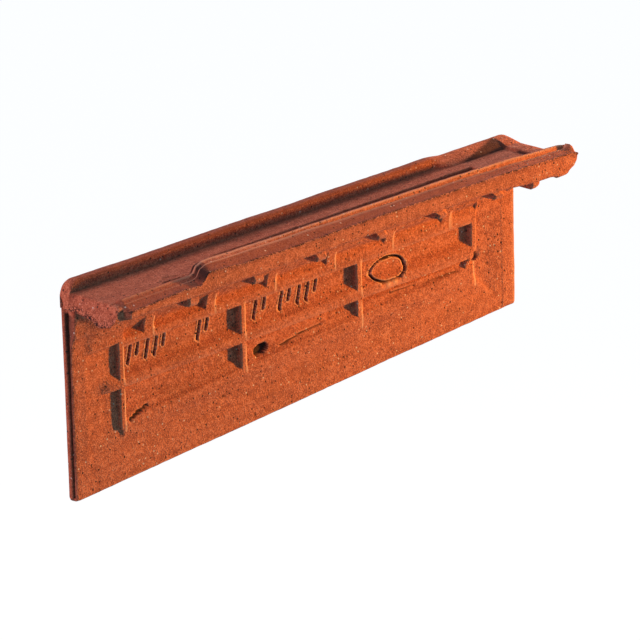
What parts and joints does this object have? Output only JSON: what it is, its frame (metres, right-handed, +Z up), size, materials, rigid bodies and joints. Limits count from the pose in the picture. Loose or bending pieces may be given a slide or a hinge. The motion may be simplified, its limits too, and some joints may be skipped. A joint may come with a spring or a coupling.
{
  "type": "verge tile",
  "caption": "Fired-clay verge tile: a channelled flange with a raised lip and rim over a hanging apron, stiffened by a ladder of ribs.",
  "frame": {"origin": "middle of the batten seat, on the flange's flat underside between the last two cross ribs before the head nib", "axes": "+X along the tile towards its head, +Y towards the apron's outer face, +Z up out of the channel"},
  "size_m": [0.4593, 0.0628, 0.1614],
  "materials": {
    "clay": "matte"
  },
  "bodies": {
    "root": {"verge_tile": "clay"}
  },
  "joints": []
}
